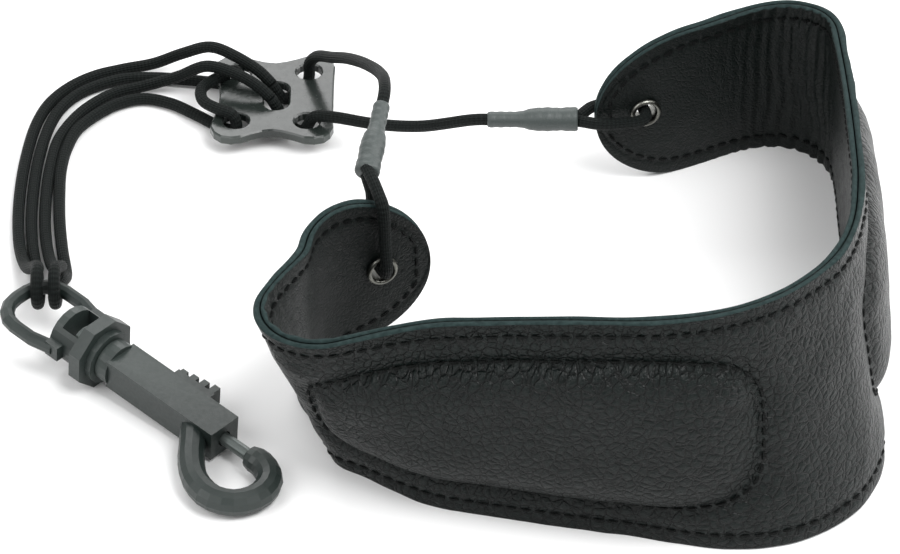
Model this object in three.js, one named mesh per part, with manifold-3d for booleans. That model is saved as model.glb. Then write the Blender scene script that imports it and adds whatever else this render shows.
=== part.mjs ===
// A padded leather neck strap for a saxophone. It stands on its lower edge, bent into a C, and its cord
// runs from one end of the band to the other through a slider plate and the eye of a swivel snap hook.
// Millimetres, +Z up, the band, the flange of the hook and its bend rest on Z = 0.
import * as THREE from "three";
import { mergeVertices } from "three/addons/utils/BufferGeometryUtils.js";
import Module from "manifold-3d";

const wasm = await Module();
wasm.setup();

const V = (x, y, z) => new THREE.Vector3(x, y, z);
const RAD = Math.PI / 180;

// The frame origin is under the middle of the strap's box.
const SHIFT = V(2.5, 7.2, 0);

// ---- band ----
const HALF_LENGTH = 190;
const END_ROUNDING = 25;
const HALF_WIDTH_AT = [0, 57, 114, 162, 250];
const HALF_WIDTH = [33, 30.5, 25, 21.5, 17.5];
const LEAN_AT = [-190, -153, -128, -88, -51, 0, 51, 97, 134, 190];
const LEAN = [2, -2, 21, 0, 0, -11, -4, -3, -4, 2];
const TIP_HEADING = -158;
const BENDS = [
  [-173, -149, 66],
  [-133, -114, 76],
  [-114, -43, 6],
  [-46.5, 37, 100],
  [116, 155, 115],
  [157, 193, -17],
];
const BAND_MIDDLE = [85, -81];
const TIP_LIFT = 3;
const LINING = 1.2;
const LEATHER_IN = 1.5;
const LEATHER_OUT = 3;
const PAD_FROM = 20;
const PAD_TO = 120;
const PAD_MARGIN = 8.5;
const PAD_BULGE = 5;
const PAD_POWER = 4;
const EDGE_THREAD_GAP = 0.4;
const PAD_THREAD_GAP = 1.3;

// ---- cord and fittings ----
const CORD_R = 1.5;
const CORD_SIDES = 8;
const EYELET_AT = 177.5;
const EYELET_HOLE = 2.65;
const EYELET_BARREL = 3.05;
const EYELET_RIM = 3.8;
const LEATHER_HOLE = 3.4;
const SLEEVE_R = 3;
const SLEEVE_THIN = 2.1;

// ---- slider plate ----
const SLIDER_AT = V(-45.5, 67, 3.6);
const SLIDER_THICK = 2.6;
const SLIDER_HOLE_X = 9;
const SLIDER_HOLE_Y = 10.5;
const SLIDER_HOLE_R = 2.9;

// ---- hook: X along its axis from the eye to the bend, Z up when it lies flat ----
const HOOK_AT = V(-78.4, -42, 8);
const HOOK_HEADING = -42;
const HOOK_PITCH = 5.1;
const BODY_LENGTH = 34.5;
const BODY_WIDTH = 9;
const BODY_HEIGHT = 8;
const EYE_BAR_R = 1.8;
const EYE_END = -33.5;
const EYE_HALF = 8.6;
const EYE_CORNER = 7;
const HOOK_BAR_R = 3.2;
const BOLT_R = 1.6;
const BOLT_BORE_R = 1.95;

const COLOURS = {
  leather: 0x16201e,
  lining: 0x1a2422,
  foam: 0x3a3a3a,
  thread: 0x0c0f0f,
  metal: 0x2a2c2c,
  sleeve: 0x4a5050,
  cord: 0x101414,
  plastic: 0x2a302e,
  steel: 0x8a8c8c,
};
const strap = new THREE.Group();
const moved = new THREE.Group();
moved.position.copy(SHIFT);
strap.add(moved);

// ---------- general shapes ----------
function smooth(t) {
  const c = Math.min(Math.max(t, 0), 1);
  return c * c * (3 - 2 * c);
}

// A smooth curve through the given values, flat at every turning point.
function through(xs, ys, x) {
  let i = 0;
  while (i < xs.length - 2 && x > xs[i + 1]) i++;
  const slope = (j) => {
    if (j <= 0 || j >= xs.length - 1) return 0;
    const a = (ys[j] - ys[j - 1]) / (xs[j] - xs[j - 1]);
    const b = (ys[j + 1] - ys[j]) / (xs[j + 1] - xs[j]);
    return a * b > 0 ? (2 * a * b) / (a + b) : 0;
  };
  const w = xs[i + 1] - xs[i];
  const t = Math.min(Math.max((x - xs[i]) / w, 0), 1);
  const t2 = t * t;
  const t3 = t2 * t;
  return (
    (2 * t3 - 3 * t2 + 1) * ys[i] +
    (t3 - 2 * t2 + t) * w * slope(i) +
    (3 * t2 - 2 * t3) * ys[i + 1] +
    (t3 - t2) * w * slope(i + 1)
  );
}

function geometryOf(points, faces) {
  const g = new THREE.BufferGeometry();
  g.setAttribute("position", new THREE.Float32BufferAttribute(points.flatMap((p) => [p.x, p.y, p.z]), 3));
  g.setIndex(faces.flat());
  return g;
}

// A closed solid from rings of equal size, capped at both ends, or joined end to end.
function skin(rings, ring = false) {
  const n = rings[0].length;
  const points = rings.flat();
  const faces = [];
  const last = ring ? rings.length : rings.length - 1;
  for (let i = 0; i < last; i++) {
    const a = i * n;
    const b = ((i + 1) % rings.length) * n;
    for (let j = 0; j < n; j++) {
      const k = (j + 1) % n;
      faces.push([a + j, a + k, b + k], [a + j, b + k, b + j]);
    }
  }
  if (!ring) {
    const e = (rings.length - 1) * n;
    for (let j = 1; j < n - 1; j++) {
      faces.push([0, j + 1, j], [e, e + j, e + j + 1]);
    }
  }
  return geometryOf(points, faces);
}

// A round bar along a list of points, with one radius or a radius for every point.
function bar(points, radius, sides, ring = false) {
  const n = points.length;
  const rings = [];
  let side = null;
  for (let i = 0; i < n; i++) {
    const before = ring ? points[(i + n - 1) % n] : points[Math.max(i - 1, 0)];
    const after = ring ? points[(i + 1) % n] : points[Math.min(i + 1, n - 1)];
    const along = after.clone().sub(before).normalize();
    if (!side) side = Math.abs(along.z) < 0.9 ? V(0, 0, 1) : V(1, 0, 0);
    side = side.clone().addScaledVector(along, -side.dot(along)).normalize();
    const other = along.clone().cross(side);
    const r = Array.isArray(radius) ? radius[i] : radius;
    const loop = [];
    for (let j = 0; j < sides; j++) {
      const a = (j / sides) * 2 * Math.PI;
      loop.push(
        points[i].clone().addScaledVector(side, r * Math.cos(a)).addScaledVector(other, r * Math.sin(a)),
      );
    }
    rings.push(loop);
  }
  return skin(rings, ring);
}

// Points along a smooth curve, closer together where its own points are.
function route(points, step) {
  const curve = new THREE.CatmullRomCurve3(points, false, "centripetal");
  const out = [points[0].clone()];
  for (let i = 0; i < points.length - 1; i++) {
    const count = Math.max(1, Math.round(points[i].distanceTo(points[i + 1]) / step));
    for (let j = 1; j <= count; j++) out.push(curve.getPoint((i + j / count) / (points.length - 1)));
  }
  return out;
}

function solid(geometry, matrix) {
  const g = geometry.clone();
  g.deleteAttribute("normal");
  g.deleteAttribute("uv");
  if (matrix) g.applyMatrix4(matrix);
  const m = mergeVertices(g, 1e-4);
  return new wasm.Manifold(
    new wasm.Mesh({
      numProp: 3,
      vertProperties: new Float32Array(m.attributes.position.array),
      triVerts: new Uint32Array(m.index.array),
    }),
  );
}

function geometryFrom(manifold) {
  const m = manifold.getMesh();
  const g = new THREE.BufferGeometry();
  g.setAttribute("position", new THREE.BufferAttribute(m.vertProperties, 3));
  g.setIndex(new THREE.BufferAttribute(m.triVerts, 1));
  return g;
}

function add(name, shape, colour, matrix) {
  const g = shape.getMesh ? geometryFrom(shape) : shape.clone();
  if (matrix) g.applyMatrix4(matrix);
  g.computeVertexNormals();
  const material = new THREE.MeshStandardMaterial({ color: COLOURS[colour], roughness: 0.7 });
  const mesh = new THREE.Mesh(g, material);
  mesh.name = name;
  moved.add(mesh);
}

// ---------- band ----------
function heading(s) {
  return BENDS.reduce((sum, [from, to, turn]) => sum + turn * smooth((s - from) / (to - from)), TIP_HEADING) * RAD;
}

const PATH_STEP = 0.5;
const path = [];
{
  const count = Math.round((2 * HALF_LENGTH) / PATH_STEP);
  let x = 0;
  let y = 0;
  for (let i = 0; i <= count; i++) {
    path.push([x, y]);
    const a = heading(-HALF_LENGTH + (i + 0.5) * PATH_STEP);
    x += Math.cos(a) * PATH_STEP;
    y += Math.sin(a) * PATH_STEP;
  }
  const [mx, my] = path[count / 2];
  path.forEach((p) => {
    p[0] += BAND_MIDDLE[0] - mx;
    p[1] += BAND_MIDDLE[1] - my;
  });
}

function fullHalfWidth(s) {
  return through(HALF_WIDTH_AT, HALF_WIDTH, Math.abs(s));
}

function halfWidth(s) {
  const t = Math.max((Math.abs(s) - HALF_LENGTH + END_ROUNDING) / END_ROUNDING, 0);
  return fullHalfWidth(s) * Math.sqrt(Math.max(1 - Math.pow(t, 2.2), 0));
}

// The band's frame at distance s along it: middle point, way along, way up its face, way out of its face.
function bandFrame(s) {
  const f = (s + HALF_LENGTH) / PATH_STEP;
  const i = Math.min(Math.floor(f), path.length - 2);
  const [ax, ay] = path[i];
  const [bx, by] = path[i + 1];
  const a = heading(s);
  const lean = through(LEAN_AT, LEAN, s) * RAD;
  const flat = V(Math.sin(a), -Math.cos(a), 0);
  const up = flat.clone().multiplyScalar(Math.sin(lean)).add(V(0, 0, Math.cos(lean)));
  const out = flat.clone().multiplyScalar(Math.cos(lean)).add(V(0, 0, -Math.sin(lean)));
  const lift = Math.max(Math.sin(lean), 0) * LEATHER_OUT + TIP_LIFT * smooth((-s - 150) / 25);
  const z = fullHalfWidth(s) * Math.cos(lean) + lift;
  const middle = V(ax + (bx - ax) * (f - i), ay + (by - ay) * (f - i), z);
  return { middle, along: V(Math.cos(a), Math.sin(a), 0), up, out };
}

function onBand(s, t, n) {
  const f = bandFrame(s);
  return f.middle.clone().addScaledVector(f.up, t * halfWidth(s)).addScaledVector(f.out, n);
}

// How far the padding pushes the outer leather out at a place on the band.
function padPlace(s, t) {
  const u = ((Math.abs(s) - PAD_FROM) / (PAD_TO - PAD_FROM)) * 2 - 1;
  const v = (t * halfWidth(s)) / (halfWidth(s) - PAD_MARGIN);
  return Math.pow(Math.pow(Math.abs(u), PAD_POWER) + Math.pow(Math.abs(v), PAD_POWER), 1 / PAD_POWER);
}

function bulge(s, t) {
  const e = padPlace(s, t);
  return e < 1 ? PAD_BULGE * (1 - e * e * e) : 0;
}

function stations() {
  const list = [];
  let s = -HALF_LENGTH + 0.4;
  while (s < HALF_LENGTH - 0.4) {
    list.push(s);
    const fold = s > -136 && s < -116;
    const tip = Math.abs(s) > 178;
    const straight = (s > -100 && s < -50) || (s > 45 && s < 110);
    s += fold ? 2.4 : tip ? 3 : straight ? 7 : 5;
  }
  list.push(HALF_LENGTH - 0.4);
  return list;
}

function bandLayer(inner, outer, across) {
  const rings = stations().map((s) => {
    const ring = [];
    for (let j = 0; j <= across; j++) ring.push(onBand(s, (j / across) * 2 - 1, inner(s, (j / across) * 2 - 1)));
    for (let j = across; j >= 0; j--) ring.push(onBand(s, (j / across) * 2 - 1, outer(s, (j / across) * 2 - 1)));
    return ring;
  });
  const g = skin(rings);
  return withEyeletHoles(g);
}

function eyeletPlace(side) {
  const s = side * EYELET_AT;
  const f = bandFrame(s);
  const m = new THREE.Matrix4().makeBasis(f.up.clone().cross(f.out), f.up, f.out);
  m.setPosition(f.middle);
  return m;
}

function withEyeletHoles(g) {
  let made = solid(g);
  if (made.volume() < 0) throw new Error("band layer faces in");
  for (const side of [-1, 1]) {
    const drill = new THREE.CylinderGeometry(LEATHER_HOLE, LEATHER_HOLE, 14, 20);
    drill.rotateX(Math.PI / 2);
    made = made.subtract(solid(drill, eyeletPlace(side)));
  }
  return made;
}

add("lining", bandLayer(() => 0, () => LINING, 4), "lining");
add("outer_leather", bandLayer((s, t) => LEATHER_IN + bulge(s, t), (s, t) => LEATHER_OUT + bulge(s, t), 10), "leather");

// Foam pads, sealed between the outer leather and the lining.
function padPoint(side, rho, angle) {
  const c = Math.cos(angle);
  const d = Math.sin(angle);
  const scale = rho / Math.pow(Math.pow(Math.abs(c), PAD_POWER) + Math.pow(Math.abs(d), PAD_POWER), 1 / PAD_POWER);
  const s = side * (PAD_FROM + ((PAD_TO - PAD_FROM) * (c * scale + 1)) / 2);
  const t = (d * scale * (halfWidth(s) - PAD_MARGIN)) / halfWidth(s);
  return [s, t];
}

function foamPad(side) {
  const levels = [0.9, 0.7, 0.45, 0.2];
  const count = 28;
  const loops = [];
  const loop = (rho, height) =>
    Array.from({ length: count }, (_, j) => {
      const [s, t] = padPoint(side, rho, (side * j * 2 * Math.PI) / count);
      return onBand(s, t, height(s, t));
    });
  [...levels].reverse().forEach((rho) => loops.push(loop(rho, () => LEATHER_IN + 0.35)));
  levels.forEach((rho) => loops.push(loop(rho, (s, t) => LEATHER_IN - 0.3 + bulge(s, t) * 0.88)));
  return skin(loops);
}
add("foam_pad_left", foamPad(-1), "foam");
add("foam_pad_right", foamPad(1), "foam");

// Seam threads, lying on the outer leather.
function thread(places, clear) {
  const rings = places.map(([s, t], i) => {
    const [s2, t2] = places[(i + 1) % places.length];
    const here = onBand(s, t, 0);
    const along = onBand(s2, t2, 0).sub(here).normalize();
    const f = bandFrame(s);
    const side = along.clone().cross(f.out).normalize();
    const n = LEATHER_OUT + clear;
    return [[-0.35, 0], [0.35, 0], [0.35, 0.4], [-0.35, 0.4]].map(([a, b]) =>
      onBand(s, t, n + b).addScaledVector(side, a),
    );
  });
  return skin(rings, true);
}

function edgePlaces() {
  const inset = 3.5;
  const list = [];
  const end = HALF_LENGTH - inset;
  const along = [-end, ...stations().filter((s) => Math.abs(s) < end - 1), end];
  const height = (s) => Math.max(halfWidth(s) - inset, 2) / halfWidth(s);
  along.forEach((s) => list.push([s, height(s)]));
  along.reverse().forEach((s) => list.push([s, -height(s)]));
  return list;
}

function padSeamPlaces(side) {
  return Array.from({ length: 40 }, (_, j) => padPoint(side, 1.1, (side * j * 2 * Math.PI) / 40));
}

function outward(g) {
  let m = solid(g);
  if (m.volume() < 0) {
    const index = g.index.array;
    for (let i = 0; i < index.length; i += 3) [index[i + 1], index[i + 2]] = [index[i + 2], index[i + 1]];
    m = solid(g);
  }
  return m;
}
add("edge_seam", outward(thread(edgePlaces(), EDGE_THREAD_GAP)), "thread");
add("pad_seam_left", outward(thread(padSeamPlaces(-1), PAD_THREAD_GAP)), "thread");
add("pad_seam_right", outward(thread(padSeamPlaces(1), PAD_THREAD_GAP)), "thread");

// ---------- eyelets ----------
function lathe(profile, sides) {
  const g = new THREE.LatheGeometry(profile.map(([r, h]) => new THREE.Vector2(r, h)), sides);
  g.rotateX(Math.PI / 2);
  return outward(g);
}

function eyelet() {
  return lathe(
    [
      [EYELET_HOLE, -0.9],
      [EYELET_HOLE + 0.5, -1.2],
      [EYELET_RIM - 0.3, -1.0],
      [EYELET_RIM, -0.7],
      [EYELET_RIM, -0.4],
      [EYELET_BARREL, -0.4],
      [EYELET_BARREL, 4.1],
      [EYELET_HOLE, 4.1],
      [EYELET_HOLE, -0.9],
    ],
    20,
  );
}

function washer() {
  return lathe(
    [
      [EYELET_BARREL + 0.3, 3.4],
      [EYELET_RIM + 0.8, 3.4],
      [EYELET_RIM + 0.8, 3.7],
      [EYELET_BARREL + 0.3, 4.0],
      [EYELET_BARREL + 0.3, 3.4],
    ],
    20,
  );
}

for (const [name, side] of [["left", -1], ["right", 1]]) {
  add("eyelet_" + name, eyelet(), "metal", eyeletPlace(side));
  add("eyelet_washer_" + name, washer(), "metal", eyeletPlace(side));
}

// ---------- cord loops through the eyelets, and the sleeves that hold them shut ----------
// A place near an eyelet: reach toward the sleeve, n out of the band's face.
function nearEyelet(side, reach, n) {
  const f = bandFrame(side * EYELET_AT);
  const away = side < 0 ? f.up : f.along;
  return f.middle.clone().addScaledVector(away, reach).addScaledVector(f.out, n);
}

const LEFT_LOOP = [
  [23.6, 7.2], [22.9, 4.4], [21.5, 1.2], [20, -1.5], [17, -2.3], [10, -2.6], [5.5, -3.3], [3, -3.5], [0.9, -2.7],
  [0.1, -0.8], [0, 1.5], [0.1, 3.8], [0.9, 5.7], [3, 6.5], [5.5, 6.3], [10, 5.9], [16, 5.7], [19.2, 6.0],
  [20.5, 7.5],
];
const RIGHT_LOOP = [
  [15.4, -0.3], [12.5, -2.0], [9, -2.9], [5.5, -3.3], [3, -3.5], [0.9, -2.7], [0.1, -0.8], [0, 1.5], [0.1, 3.8],
  [0.9, 5.7], [3, 6.5], [5.5, 6.3], [9, 6.1], [12.5, 5.4], [15.4, 3.3],
];
const loopPoints = (side, list) => route(list.map(([a, n]) => nearEyelet(side, a, n)), 4);
add("loop_left", bar(loopPoints(-1, LEFT_LOOP), CORD_R, CORD_SIDES), "cord");
add("loop_right", bar(loopPoints(1, RIGHT_LOOP), CORD_R, CORD_SIDES), "cord");

function sleeve(from, to) {
  const at = [0, 0.03, 0.5, 0.62, 0.97, 1];
  const radius = [SLEEVE_R - 0.3, SLEEVE_R, SLEEVE_R, SLEEVE_THIN + 0.2, SLEEVE_THIN, SLEEVE_THIN - 0.3];
  return bar(at.map((t) => from.clone().lerp(to, t)), radius, 16);
}
const LEFT_SLEEVE = [nearEyelet(-1, 22.4, 8.8), V(-16.5, 2.5, 51.5)];
const RIGHT_SLEEVE = [nearEyelet(1, 17, 1.5), V(9, 38.5, 20)];
add("sleeve_left", sleeve(...LEFT_SLEEVE), "sleeve");
add("sleeve_right", sleeve(...RIGHT_SLEEVE), "sleeve");

// ---------- cord ----------
// One cord: left sleeve, slider, hook eye, slider, hook eye, slider, right sleeve.
const UNDER = 1.8;
const OVER = 8;
const pts = (...list) => list.map(([x, y, z]) => V(x, y, z));
const beyond = ([from, to], distance) => to.clone().add(to.clone().sub(from).setLength(distance));
const LEFT_RUN = pts(
  [-16.0, 12, 51.0], [-17.5, 27, 43], [-21.5, 43, 34], [-26, 56, 26], [-30, 66, 19], [-34.6, 75, 12.6],
  [-36.4, 77.4, 8.5], [-36.5, 77.6, 4.6], [-37.4, 76.4, UNDER],
);
const UNDER_TO_SLOT = pts([-42.6, 71.6, UNDER], [-44.2, 70.2, 4.4], [-45.8, 70.4, 7.4]);
const STRAND_A = pts(
  [-49, 72.5, 9.8], [-55, 76.4, 11.6], [-61.5, 80.6, 11.6], [-69, 84.3, 7], [-77, 85.2, 3], [-85, 84.3, UNDER],
  [-92, 81.4, UNDER], [-98, 76.6, UNDER], [-102.6, 70, UNDER], [-105.4, 61.5, UNDER], [-107.2, 47, UNDER],
  [-107.7, 32, UNDER], [-107.2, 19, UNDER], [-105.8, 8, UNDER + 0.6], [-103.4, -1.5, 5], [-100.4, -9, 11.4],
);
const STRAND_C = pts(
  [-100.2, -8.6, 6.4], [-101, -1, 2.4], [-102.8, 9, UNDER], [-104, 20, UNDER], [-104.4, 32, UNDER], [-104, 46, UNDER],
  [-102.3, 59.4, UNDER], [-99.8, 67.4, UNDER], [-95.8, 73.4, UNDER], [-90.4, 77.6, UNDER], [-84.2, 80.2, UNDER],
  [-76, 80.6, UNDER], [-66, 79.4, UNDER], [-58, 78, UNDER],
);
const CROSS = pts(
  [-54.7, 77.2, 2.6], [-54.5, 77, 5], [-55.6, 75.8, 7.6], [-60, 72, OVER], [-63.6, 67.4, OVER], [-63, 62.4, OVER],
  [-59, 58.8, OVER], [-55.6, 57.2, 7.6], [-54.5, 57, 5], [-55, 57.2, 2.6],
);
const STRAND_D = pts(
  [-58.5, 59.4, UNDER], [-65, 64.6, UNDER], [-72, 69.6, UNDER], [-79, 71.6, UNDER], [-85, 69.6, UNDER],
  [-90.6, 64.6, UNDER], [-95, 58.4, UNDER], [-97.3, 50, UNDER], [-98.1, 41, UNDER], [-97.8, 31, UNDER],
  [-97, 20, UNDER], [-95.6, 9, UNDER], [-94, -1, 2.4], [-94.2, -8.6, 6.4],
);
const STRAND_B = pts(
  [-94.2, -9, 11.4], [-97, -1.5, 5], [-99.2, 8.6, UNDER + 0.6], [-100.6, 19.5, UNDER], [-101.1, 31.5, UNDER],
  [-100.8, 43.5, UNDER], [-99.4, 54.6, UNDER], [-95.8, 63.4, UNDER], [-91.4, 69.6, UNDER], [-86, 74.2, UNDER],
  [-79, 76.2, UNDER + 0.6], [-70, 75.2, 6.2], [-62.4, 72.6, 11.4], [-55, 69.4, 11.4], [-49, 66.2, 9.6],
);
const SLOT_TO_UNDER = pts([-45.8, 64.2, 7.4], [-44.2, 63.8, 4.4], [-42.6, 62.4, UNDER]);
const RIGHT_RUN = pts(
  [-37.8, 57.6, UNDER], [-36.5, 56.5, 4.4], [-34.6, 55.6, 8], [-30, 53.4, 9.6], [-19, 49.4, 10.4], [-8, 45, 13],
);
// Where two strands pass round the bar of the hook's eye, seen along the bar.
const EYE_BEND = V(0, -16.5, 11.4);
const EYE_WRAP = 4.3;
function roundEye(x, overFirst) {
  const angles = [120, 90, 60, 30, 0, -30, -60, -90, -120];
  const list = angles.map((a) => {
    const way = a * RAD;
    return V(x, EYE_BEND.y - EYE_WRAP * Math.cos(way), EYE_BEND.z + EYE_WRAP * Math.sin(way));
  });
  return overFirst ? list : list.reverse();
}
const CORD_ROUTE = [
  beyond(LEFT_SLEEVE, 0.5), beyond(LEFT_SLEEVE, 3), ...LEFT_RUN, ...UNDER_TO_SLOT, ...STRAND_A, ...roundEye(-99.3, true), ...STRAND_C, ...CROSS,
  ...STRAND_D, ...roundEye(-95.1, false), ...STRAND_B, ...SLOT_TO_UNDER, ...RIGHT_RUN, beyond(RIGHT_SLEEVE, 3), beyond(RIGHT_SLEEVE, 0.5),
];
add("cord", bar(route(CORD_ROUTE, 14), CORD_R, CORD_SIDES), "cord");

// ---------- slider plate ----------
function sliderOutline() {
  const half = [[15.5, 8], [15.5, 14], [13.2, 17.2], [9, 17.6], [4.5, 15.6], [0, 14.4]];
  const left = [[-4.5, 15.6], [-9, 17.6], [-13.2, 16.8], [-15.5, 13], [-14.6, 8.4], [-13.8, 4], [-13.6, 0]];
  const top = [[15.5, 0], ...half, ...left];
  const bottom = [...half, ...left.slice(0, -1)].map(([x, y]) => [x, -y]).reverse();
  const curve = new THREE.CatmullRomCurve3([...top, ...bottom].map(([x, y]) => V(x, y, 0)), true, "centripetal");
  return curve.getPoints(44).slice(0, -1).map((p) => new THREE.Vector2(p.x, p.y));
}

function slotPath(x, y, r, half, steps) {
  const hole = new THREE.Path();
  hole.moveTo(x + r, y + half);
  hole.absarc(x, y + half, r, 0, Math.PI, false);
  hole.absarc(x, y - half, r, Math.PI, 2 * Math.PI, false);
  return new THREE.Path(hole.getPoints(steps));
}

function sliderPlate() {
  const shape = new THREE.Shape(sliderOutline());
  for (const x of [-1, 1]) {
    for (const y of [-1, 1]) {
      const hole = new THREE.Path();
      hole.absarc(x * SLIDER_HOLE_X, y * SLIDER_HOLE_Y, SLIDER_HOLE_R + 0.4, 0, 2 * Math.PI, true);
      shape.holes.push(new THREE.Path(hole.getPoints(8).slice(0, -1)));
    }
  }
  shape.holes.push(slotPath(1, 0, 3.2, 2.7, 6));
  const g = new THREE.ExtrudeGeometry(shape, {
    depth: SLIDER_THICK - 0.8,
    bevelEnabled: true,
    bevelThickness: 0.4,
    bevelSize: 0.4,
    bevelOffset: -0.4,
    bevelSegments: 1,
    curveSegments: 8,
  });
  g.translate(0, 0, 0.4);
  return outward(g);
}
add("slider_plate", sliderPlate(), "metal", new THREE.Matrix4().setPosition(SLIDER_AT));

// ---------- hook ----------
const hookPlace = new THREE.Matrix4()
  .makeRotationZ(HOOK_HEADING * RAD)
  .multiply(new THREE.Matrix4().makeRotationY(HOOK_PITCH * RAD))
  .setPosition(HOOK_AT);

function box(x0, x1, y0, y1, z0, z1) {
  const g = new THREE.BoxGeometry(x1 - x0, y1 - y0, z1 - z0);
  g.translate((x0 + x1) / 2, (y0 + y1) / 2, (z0 + z1) / 2);
  return solid(g);
}

function rod(x0, x1, radius, sides = 20, turn = 0) {
  const g = new THREE.CylinderGeometry(radius, radius, x1 - x0, sides);
  g.rotateY(turn);
  g.rotateZ(-Math.PI / 2);
  g.translate((x0 + x1) / 2, 0, 0);
  return solid(g);
}

function eyeBarPoints() {
  const list = [V(-15, EYE_HALF - 1.4, 0), V(-21, EYE_HALF, 0)];
  const cx = EYE_END + EYE_CORNER;
  for (let a = 0; a <= 90; a += 22.5) {
    list.push(
      V(cx - EYE_CORNER * Math.sin(a * RAD), EYE_HALF - EYE_CORNER + EYE_CORNER * Math.cos(a * RAD), 0),
    );
  }
  return [...list, ...list.map((p) => V(p.x, -p.y, 0)).reverse()];
}

// The eye's bar, a round yoke with a window, and an eight-sided flange with a hole for the stud.
function swivelEye() {
  const flat = Math.PI / 8;
  let eye = solid(bar(eyeBarPoints(), EYE_BAR_R, 10));
  if (eye.volume() < 0) eye = outward(bar(eyeBarPoints(), EYE_BAR_R, 10));
  const yoke = rod(-17, -8.4, 6.6, 20).add(box(-16.6, -12.6, -8.4, 8.4, -2, 2));
  const flange = rod(-8.5, -5, 8.5 / Math.cos(flat), 8, flat).add(rod(-5.1, -3.2, 6.8, 16));
  const window = box(-14.8, -8.6, -4.4, 4.4, -9, 9);
  return eye.add(yoke).add(flange).subtract(window).subtract(rod(-9, -3, 2.4, 16));
}
add("swivel_eye", swivelEye(), "plastic", hookPlace);

// The rivet that holds the eye to the body and lets it turn.
add("swivel_stud", rod(-12.4, -9.0, 3.6, 18).add(rod(-9.1, -0.4, 2.0, 16)), "steel", hookPlace);

function jPoints() {
  const list = [[26, -1.5], [30.5, -6.5], [35, -11.5], [40, -15], [46, -16], [51, -13.2], [53.2, -7.6], [51.4, -2.4]];
  const curve = new THREE.CatmullRomCurve3([...list, [47, 0], [42.8, 0]].map(([x, y]) => V(x, y, 0)), false, "centripetal");
  return curve.getPoints(22);
}

// Collar, square body, stem and bend. It is bored for the bolt and slotted for the thumb piece.
function hookBody() {
  const w = BODY_WIDTH / 2;
  const h = BODY_HEIGHT / 2;
  const collar = rod(-2.9, 0.5, 5.4, 20).subtract(rod(-3.5, -0.2, 2.3, 16));
  const body = box(0, BODY_LENGTH, -w, w, -h, h);
  const points = jPoints();
  const radius = points.map((_, i) => (i === points.length - 1 ? HOOK_BAR_R - 0.5 : HOOK_BAR_R));
  const bend = outward(bar(points, radius, 12));
  const bore = rod(6, BODY_LENGTH + 1, BOLT_BORE_R, 18);
  const slot = box(8, 25, 0, w + 1, -1.4, 1.4);
  return collar.add(body).add(bend).subtract(bore).subtract(slot);
}
add("hook_body", hookBody(), "plastic", hookPlace);

// Bolt, thumb piece and spring.
add("bolt", rod(15.8, 42.2, BOLT_R, 18).subtract(box(17, 22, 0.7, 3, -3, 3)), "steel", hookPlace);

function thumbSlide() {
  let piece = box(17.4, 21.6, 1.0, BODY_WIDTH / 2 + 1, -1.05, 1.05);
  piece = piece.add(box(12.6, 24.4, BODY_WIDTH / 2 + 0.3, BODY_WIDTH / 2 + 2.6, -2.6, 2.6));
  for (let i = 0; i < 4; i++) {
    const x = 13 + i * 3;
    piece = piece.add(box(x, x + 1.8, BODY_WIDTH / 2 + 2.5, BODY_WIDTH / 2 + 3.6 + 0.5 * i, -2.4, 2.4));
  }
  return piece;
}
add("thumb_slide", thumbSlide(), "plastic", hookPlace);

function spring() {
  const points = [];
  const turns = 6;
  for (let i = 0; i <= turns * 8; i++) {
    const a = (i / 8) * 2 * Math.PI;
    points.push(V(6.7 + (i / (turns * 8)) * 8.4, 1.15 * Math.cos(a), 1.15 * Math.sin(a)));
  }
  return bar(points, 0.22, 5);
}
add("plunger_spring", outward(spring()), "steel", hookPlace);

export default strap;
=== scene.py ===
# Looks for a padded leather saxophone strap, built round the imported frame.
# Lengths are in millimetres until metres() puts them in the frame.
import math
import bpy
import numpy as np
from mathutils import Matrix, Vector, noise


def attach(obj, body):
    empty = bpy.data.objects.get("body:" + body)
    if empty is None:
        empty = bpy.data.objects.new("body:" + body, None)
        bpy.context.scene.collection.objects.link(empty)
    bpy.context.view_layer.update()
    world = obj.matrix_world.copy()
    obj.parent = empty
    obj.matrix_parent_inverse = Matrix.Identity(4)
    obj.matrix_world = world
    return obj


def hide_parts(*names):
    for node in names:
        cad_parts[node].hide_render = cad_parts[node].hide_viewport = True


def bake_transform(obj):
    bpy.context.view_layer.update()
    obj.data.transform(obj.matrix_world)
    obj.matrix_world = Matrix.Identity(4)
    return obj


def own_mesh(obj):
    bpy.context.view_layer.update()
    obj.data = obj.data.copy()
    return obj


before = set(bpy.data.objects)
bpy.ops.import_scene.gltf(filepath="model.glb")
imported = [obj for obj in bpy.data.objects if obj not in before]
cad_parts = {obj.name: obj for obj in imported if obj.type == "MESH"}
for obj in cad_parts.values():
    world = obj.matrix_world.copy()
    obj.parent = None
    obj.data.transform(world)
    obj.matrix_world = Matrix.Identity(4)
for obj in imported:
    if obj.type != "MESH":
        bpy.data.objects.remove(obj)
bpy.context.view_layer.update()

MM = 0.001
SHIFT = np.array([2.5, 7.2, 0.0])
RAD = math.pi / 180

# ---------- camera ----------
CAMERA_ELEVATION = 38.9
CAMERA_DISTANCE = 1126
CAMERA_LENS = 184
AIM = np.array([-0.3, 1.0, 0.0])


def metres(p):
    return [(p[i] + SHIFT[i]) * MM for i in range(3)]


camera = bpy.data.objects.new("camera", bpy.data.cameras.new("camera"))
bpy.context.scene.collection.objects.link(camera)
camera.data.lens = CAMERA_LENS
camera.data.sensor_width = 36
back = np.array([0, -math.cos(CAMERA_ELEVATION * RAD), math.sin(CAMERA_ELEVATION * RAD)])
camera.location = metres(AIM + back * CAMERA_DISTANCE)
camera.rotation_euler = ((90 - CAMERA_ELEVATION) * RAD, 0, 0)
camera.data.clip_end = 20
bpy.context.scene.camera = camera

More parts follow.
